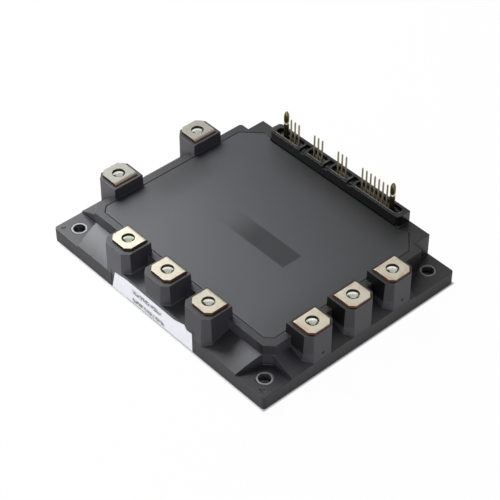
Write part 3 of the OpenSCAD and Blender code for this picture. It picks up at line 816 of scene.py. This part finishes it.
class Palette:
    """All finishes of the module by name."""

    def __init__(self) -> None:
        """Builds the shared effects and every material."""
        effects = Effects()
        finishes = [
            CaseResin("case_plastic", srgb(18, 16, 20), srgb(26, 24, 29), roughness=0.42, gloss=0.4,
                      wall=srgb(45, 43, 48), header=srgb(4, 4, 4), sealing=srgb(80, 73, 60), rim=srgb(120, 118, 110),
                      painted_light_tone=srgb(74, 74, 78)),
            LidResin("lid_plastic", srgb(34, 35, 38), srgb(40, 40, 44), roughness=0.46, gloss=0.44, edge_mm=0.2,
                     painted_sheen=srgb(52, 53, 56)),
            TinnedCopper("terminal_tinned", srgb(186, 180, 164), srgb(98, 60, 40), srgb(176, 162, 136),
                         greyed=srgb(130, 128, 119), shade=srgb(34, 30, 24), blush=srgb(172, 128, 96), roughness=0.5),
            # Painted shade in the sleeves' and nuts' bores
            BoredSteel("sleeve_steel", srgb(120, 120, 122), srgb(96, 96, 98), roughness=0.45, metallic=0.7,
                        bore=srgb(84, 84, 86)),
            BoredSteel("nut_steel", srgb(236, 236, 224), srgb(198, 197, 182), roughness=0.16,
                        bore=srgb(192, 194, 184), bore_z=(NUT_TOP - 0.7, NUT_TOP - 0.4)),
            PlainMetal("pin_brass", srgb(172, 164, 134), srgb(140, 130, 100), roughness=0.34, metallic=0.7),
            GuideBrass("guide_brass", srgb(104, 98, 60), srgb(76, 70, 38), roughness=0.36,
                       bright=srgb(206, 200, 176), dark=srgb(60, 56, 40)),
            PlainMetal("plated_copper", srgb(200, 196, 188), srgb(176, 160, 146), roughness=0.35, patch_mm=25.0),
            PlainMetal("chip_silicon", srgb(170, 172, 178), srgb(140, 142, 150)),
            PlainMetal("wire_aluminium", srgb(225, 225, 225), srgb(200, 200, 200)),
            PlainCoat("substrate_ceramic", srgb(226, 214, 200), srgb(205, 160, 120)),
            PlainCoat("board_green", srgb(30, 92, 52), srgb(24, 78, 44), roughness=0.35),
            PlainCoat("ic_plastic", srgb(34, 34, 36), srgb(44, 44, 46)),
            PlainCoat("gel_clear", srgb(214, 222, 226), srgb(200, 210, 216), roughness=0.25),
            LabelFilm("label_paper", srgb(236, 236, 240), srgb(60, 60, 66)),
        ]
        self.materials = {finish.name: finish.make(effects) for finish in finishes}

    def dress(self, piece: bpy.types.Object, slot: str) -> None:
        """Gives a piece the finish of one of the record's material slots.

        Args:
            piece: The object.
            slot: Name of the slot.
        """
        piece.data.materials.clear()
        piece.data.materials.append(self.materials[slot])


def add_piece(name: str, mesh: bpy.types.Mesh, slot: str, palette: Palette, nodes: tuple[str, ...]) -> bpy.types.Object:
    """Puts a finished mesh into the scene as a piece that stands for CAD nodes.

    Args:
        name: Name of the piece.
        mesh: Its mesh, in place.
        slot: The record's material slot.
        palette: The finishes.
        nodes: The CAD nodes that it stands for.

    Returns:
        The new object.
    """
    piece = bpy.data.objects.new(name, mesh)
    bpy.context.scene.collection.objects.link(piece)
    palette.dress(piece, slot)
    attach(piece, BODY)
    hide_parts(*nodes)
    return piece


def welded_mesh(node: bpy.types.Object, name: str) -> bpy.types.Mesh:
    """Copies a CAD node's mesh, joins its loose triangles and clears the edges inside flat faces.

    Args:
        node: The CAD node's object.
        name: Name of the new mesh.

    Returns:
        The joined mesh.
    """
    mesh = node.data.copy()
    mesh.name = name
    work = bmesh.new()
    work.from_mesh(mesh)
    bmesh.ops.remove_doubles(work, verts=work.verts, dist=1e-6)
    bmesh.ops.dissolve_limit(work, angle_limit=math.radians(0.3), verts=work.verts, edges=work.edges)
    work.to_mesh(mesh)
    work.free()
    return mesh


def screw_place(terminal: str) -> tuple[np.ndarray, np.ndarray]:
    """Finds a terminal's nut from the terminal's box.

    Args:
        terminal: Name of the terminal's node.

    Returns:
        A 3 by 3 turn, and the middle of the nut's underside in millimetres.
    """
    low, high = (np.array(corner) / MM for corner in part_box(terminal))
    nut_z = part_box("terminal_nuts")[0][2] / MM
    if terminal in FRONT_TERMINALS:
        return np.eye(3), np.array([(low[0] + high[0]) / 2.0, low[1] + PLATE_HOLE_FRONT, nut_z])
    outward = 1.0 if high[0] > 0.0 else -1.0
    edge = high[0] if outward > 0.0 else low[0]
    middle = np.array([edge - outward * PLATE_HOLE_SIDE, (low[1] + high[1]) / 2.0, nut_z])
    return np.array([[0.0, -1.0, 0.0], [1.0, 0.0, 0.0], [0.0, 0.0, 1.0]]), middle


@dataclass
class SoftEdged:
    """A CAD node shown with rounded edges: a joined copy under a bevel."""

    node: str
    slot: str
    width_mm: float = 0.12
    segments: int = 2
    angle: float = 30.0

    def build(self, palette: Palette) -> bpy.types.Object:
        """Makes the piece.

        Args:
            palette: The finishes.

        Returns:
            The piece that stands for the node.
        """
        mesh = welded_mesh(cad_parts[self.node], f"{self.node}_shape")
        piece = add_piece(f"{self.node}_soft", mesh, self.slot, palette, (self.node,))
        bevel = piece.modifiers.new("soft_edges", "BEVEL")
        bevel.width = self.width_mm * MM
        bevel.segments = self.segments
        bevel.limit_method = "ANGLE"
        bevel.angle_limit = math.radians(self.angle)
        mesh.shade_smooth()
        even = piece.modifiers.new("flat_faces", "WEIGHTED_NORMAL")
        even.weight = 100
        return piece


@dataclass
class ScrewTerminal(SoftEdged):
    """A terminal strip with rounded edges, which knows how far each point lies from its screw hole."""

    def build(self, palette: Palette) -> bpy.types.Object:
        """Makes the piece and stores each vertex's distance from the screw's axis in millimetres.

        Args:
            palette: The finishes.

        Returns:
            The piece that stands for the terminal.
        """
        piece = super().build(palette)
        mesh = piece.data
        points = np.empty(len(mesh.vertices) * 3, dtype=np.float32)
        mesh.vertices.foreach_get("co", points)
        flat = points.reshape(-1, 3)[:, :2] / MM - screw_place(self.node)[1][:2]
        stored = mesh.attributes.new(HOLE_DISTANCE, "FLOAT", "POINT")
        stored.data.foreach_set("value", np.linalg.norm(flat, axis=1).astype(np.float32))
        return piece


@dataclass
class ThreadedNuts:
    """The hexagon nuts under the terminal plates, with cut threads."""

    across_flats: float = 8.0
    height: float = 4.0
    minor_r: float = 2.1
    major_r: float = 2.5
    pitch: float = 0.8
    sink_r: float = 2.75
    sink_h: float = 0.55
    edge_h: float = 0.45
    around: int = 96
    rows: int = 56

    def section(self) -> tuple[np.ndarray, np.ndarray]:
        """Radius and height over a closed grid of angle and way round the wall.

        The outside is a hexagon, radius = half the flats / cos of the angle from the nearest flat, cut
        by a cone at both ends. The bore's radius goes from the crest to the root and back with the
        fraction of height / pitch - turn, which is a helix.

        Returns:
            Radius and height, both shaped (rows, around), in millimetres.
        """
        turn = np.linspace(0.0, 2.0 * np.pi, self.around, endpoint=False)[None, :]
        flat = np.mod(turn, np.pi / 3.0) - np.pi / 6.0
        hexagon = self.across_flats / 2.0 / np.cos(flat)
        cone = self.across_flats / 2.0 * 0.98
        outer_z = np.array([0.0, self.edge_h, self.height - self.edge_h, self.height])[:, None]
        reach = np.array([cone, 9.0, 9.0, cone])[:, None]
        outer_r = np.minimum(hexagon, reach)
        bore_z = np.linspace(self.height - self.sink_h, self.sink_h, self.rows)[:, None]
        phase = np.mod(bore_z / self.pitch - turn / (2.0 * np.pi), 1.0)
        bore_r = self.minor_r + (self.major_r - self.minor_r) * (1.0 - np.abs(2.0 * phase - 1.0))
        ring = np.ones_like(turn)
        radius = np.vstack([outer_r, self.sink_r * ring, bore_r, self.sink_r * ring])
        heights = np.vstack([outer_z * ring, self.height * ring, bore_z * ring, 0.0 * ring])
        return radius, heights

    def build(self, palette: Palette) -> bpy.types.Object:
        """Makes the nuts where the CAD node has them.

        Args:
            palette: The finishes.

        Returns:
            The piece with all nuts.
        """
        radius, heights = self.section()
        turn = np.linspace(0.0, 2.0 * np.pi, self.around, endpoint=False)[None, :]
        local = np.stack([radius * np.cos(turn), radius * np.sin(turn), heights], axis=-1).reshape(-1, 3)
        rows = radius.shape[0]
        row, column = np.meshgrid(np.arange(rows), np.arange(self.around), indexing="ij")
        after, beside = (row + 1) % rows, (column + 1) % self.around
        quads = np.stack([row * self.around + column, row * self.around + beside,
                          after * self.around + beside, after * self.around + column], axis=-1).reshape(-1, 4)
        places = [screw_place(name) for name in TERMINALS]
        points = np.concatenate([local @ turned.T + middle for turned, middle in places])
        faces = np.concatenate([quads + index * len(local) for index in range(len(places))])
        mesh = bpy.data.meshes.new("terminal_nuts_shape")
        mesh.from_pydata((points * MM).tolist(), [], faces.tolist())
        mesh.shade_smooth()
        mesh.set_sharp_from_angle(angle=math.radians(35.0))
        return add_piece("terminal_nuts_cut", mesh, "nut_steel", palette, ("terminal_nuts",))


OUTER_SLOTS = {"case_frame": "case_plastic", "label": "label_paper", "base_plate": "plated_copper"}
INNER_SLOTS = {
    "substrate": "substrate_ceramic", "igbt_chip": "chip_silicon", "diode_chip": "chip_silicon",
    "drive_ic": "ic_plastic", "bond_wires": "wire_aluminium", "link_pins": "pin_brass",
    "control_board": "board_green", "gel": "gel_clear",
}


@dataclass
class Module:
    """The power module: case, lid, terminals, header pins and what lies inside."""

    palette: Palette

    def build(self) -> None:
        """Dresses every CAD node and builds the finer pieces."""
        self.case()
        self.terminals()
        self.header_pins()
        self.inside()

    def case(self) -> None:
        """Case, lid, label, sleeves and base plate."""
        for name, slot in OUTER_SLOTS.items():
            self.palette.dress(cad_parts[name], slot)
        SoftEdged("lid", "lid_plastic", 0.22).build(self.palette)
        SoftEdged("mount_sleeves", "sleeve_steel", 0.15).build(self.palette)
        LOG.info("case dressed")

    def terminals(self) -> None:
        """Terminal strips with rounded edges, and their nuts."""
        for name in TERMINALS:
            ScrewTerminal(name, "terminal_tinned", 0.12).build(self.palette)
        ThreadedNuts().build(self.palette)
        LOG.info("%d terminals built", len(TERMINALS))

    def header_pins(self) -> None:
        """Control pins and guide pins."""
        for name in sorted(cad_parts):
            if name.startswith("control_pin"):
                SoftEdged(name, "pin_brass", 0.05, 1).build(self.palette)
            elif name.startswith("guide_pin"):
                SoftEdged(name, "guide_brass", 0.05, 1).build(self.palette)
        LOG.info("header pins built")

    def inside(self) -> None:
        """Finishes of the sealed pieces."""
        for name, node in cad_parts.items():
            for start, slot in INNER_SLOTS.items():
                if name.startswith(start):
                    self.palette.dress(node, slot)
        LOG.info("inside dressed")


@dataclass
class Studio:
    """Camera, lamps, floor and backdrop."""

    azimuth: float = 48.05
    elevation: float = 42.46
    distance: float = 739.2
    target: tuple = (-5.68, 4.38, 0.0)
    lens: float = 120.088
    lamps: list = field(default_factory=lambda: [
        ("key_left", (-330.0, 20.0, 300.0), 300.0, 1.19),
        ("key_near", (-260.0, -60.0, 300.0), 200.0, 1.34),
        ("low_left", (-420.0, -20.0, 160.0), 300.0, 0.47),
        ("front_right", (330.0, -380.0, 120.0), 300.0, 1.85),
    ])

    def build(self) -> None:
        """Sets up the whole studio."""
        self.camera()
        for lamp in self.lamps:
            self.lamp(*lamp)
        self.floor()
        self.world()
        bpy.context.scene.view_settings.view_transform = "Standard"
        LOG.info("studio set")

    def camera(self) -> None:
        """Camera on a sphere round the target, at the photograph's viewing angle."""
        data = bpy.data.cameras.new("camera")
        data.lens = self.lens
        data.sensor_width = 36.0
        data.clip_start = 0.05
        turn, rise = math.radians(self.azimuth), math.radians(self.elevation)
        back = Vector((math.sin(turn) * math.cos(rise), -math.cos(turn) * math.cos(rise), math.sin(rise)))
        camera = bpy.data.objects.new("camera", data)
        camera.location = (Vector(self.target) + back * self.distance) * MM
        camera.rotation_mode = "QUATERNION"
        camera.rotation_quaternion = (-back).to_track_quat("-Z", "Y")
        bpy.context.scene.collection.objects.link(camera)
        bpy.context.scene.camera = camera

    @staticmethod
    def lamp(name: str, place: tuple, size: float, watts: float) -> None:
        """Square area lamp that faces the module.

        Args:
            name: Name of the lamp.
            place: Its middle in millimetres.
            size: Length of its side in millimetres.
            watts: Its power.
        """
        data = bpy.data.lights.new(name, "AREA")
        data.size = size * MM
        data.energy = watts
        data.color = (0.96, 0.975, 1.0)
        lamp = bpy.data.objects.new(name, data)
        lamp.visible_camera = False
        lamp.location = Vector(place) * MM
        lamp.rotation_mode = "QUATERNION"
        lamp.rotation_quaternion = (Vector((0.0, 0.0, 10.0)) - Vector(place)).to_track_quat("-Z", "Y")
        bpy.context.scene.collection.objects.link(lamp)

    @staticmethod
    def floor() -> None:
        """Plain pale floor: white to the camera and in reflections, with a narrow shadow round the module."""
        half, below = 3.0, -0.00005
        mesh = bpy.data.meshes.new("floor")
        mesh.from_pydata([(-half, -half, below), (half, -half, below), (half, half, below), (-half, half, below)],
                         [], [(0, 1, 2, 3)])
        floor = bpy.data.objects.new("floor", mesh)
        bpy.context.scene.collection.objects.link(floor)
        material, graph, place = new_material("pale_floor")
        white = graph.add("Emission", {"Color": WHITE, "Strength": 1.0})
        pale = graph.add("BsdfDiffuse", {"Color": (0.8, 0.8, 0.8, 1.0)})
        along, across = (graph.math("ABSOLUTE", axis) for axis in graph.axes(place)[:2])
        beside = graph.math("MAXIMUM", graph.ramp(along, HALF_X - 5.0, HALF_X - 1.0),
                            graph.ramp(across, HALF_Y - 5.5, HALF_Y - 1.5))
        away = graph.math("MAXIMUM", graph.math("SUBTRACT", along, HALF_X), graph.math("SUBTRACT", across, HALF_Y))
        contact = graph.ramp(away, 0.0, 9.0, 0.45, 1.0)
        share = graph.product(graph.looked_at(contact), beside, graph.ramp(away, 0.0, 1.0, 0.2, 1.0),
                              graph.ramp(away, 30.0, 400.0, 0.98, 1.0))
        both = graph.add("MixShader", {0: share, 1: pale.outputs[0], 2: white.outputs[0]})
        graph.add("OutputMaterial", {"Surface": both.outputs[0]})
        mesh.materials.append(material)

    @staticmethod
    def world() -> None:
        """White for the camera and in reflections, and an even grey light for everything else."""
        world = bpy.data.worlds.new("studio")
        world.use_nodes = True
        bpy.context.scene.world = world
        graph = Graph(world.node_tree)
        white = graph.add("Background", {"Color": WHITE, "Strength": 1.0})
        even = graph.add("Background", {"Color": (0.93, 0.95, 1.0, 1.0), "Strength": 0.01})
        both = graph.add("MixShader", {0: graph.looked_at(), 1: even.outputs[0], 2: white.outputs[0]})
        graph.add("OutputWorld", {"Surface": both.outputs[0]})


def main() -> None:
    """Builds the module and its studio."""
    logging.basicConfig(level=logging.INFO, format="%(name)s: %(message)s")
    Module(Palette()).build()
    Studio().build()


if __name__ == "__main__":
    main()
